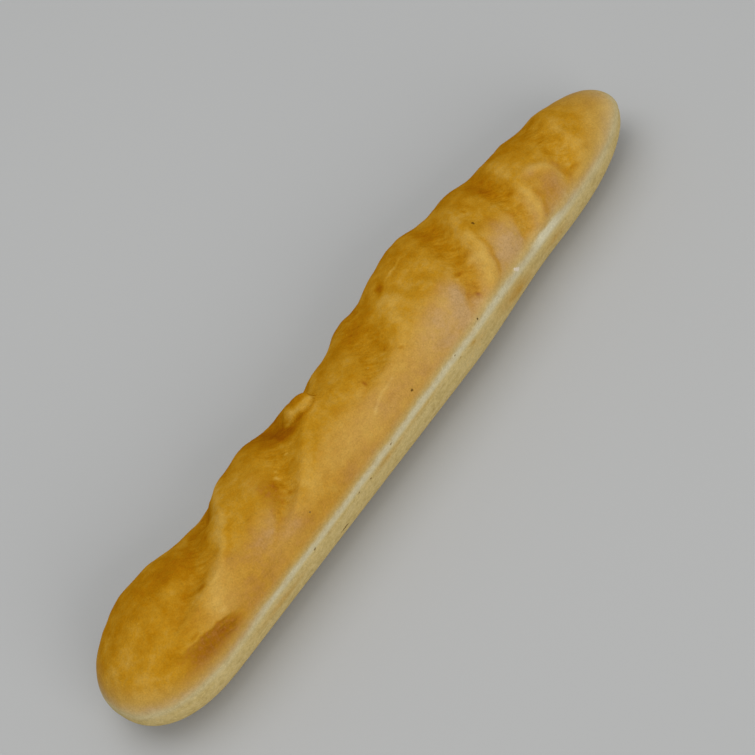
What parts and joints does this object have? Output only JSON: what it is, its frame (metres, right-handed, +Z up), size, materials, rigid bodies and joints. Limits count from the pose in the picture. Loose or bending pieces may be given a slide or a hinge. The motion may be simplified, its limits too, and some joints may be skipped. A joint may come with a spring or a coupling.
{
  "type": "baguette",
  "caption": "Whole slashed baguette with a golden crown of opened diagonal slashes, a pale channel line along each side, blunt rounded ends and a flat resting spot underneath.",
  "frame": {"origin": "on the surface it rests on, under the centre of the loaf's box", "axes": "+X along the loaf towards its slimmer end, +Y to its left side, +Z up"},
  "size_m": [0.44, 0.0756, 0.0575],
  "materials": {
    "crust": "baked wheat crust, soft satin, golden brown on the crown and pale sand along the channel line and base"
  },
  "bodies": {
    "root": {"loaf": "crust"}
  },
  "joints": []
}
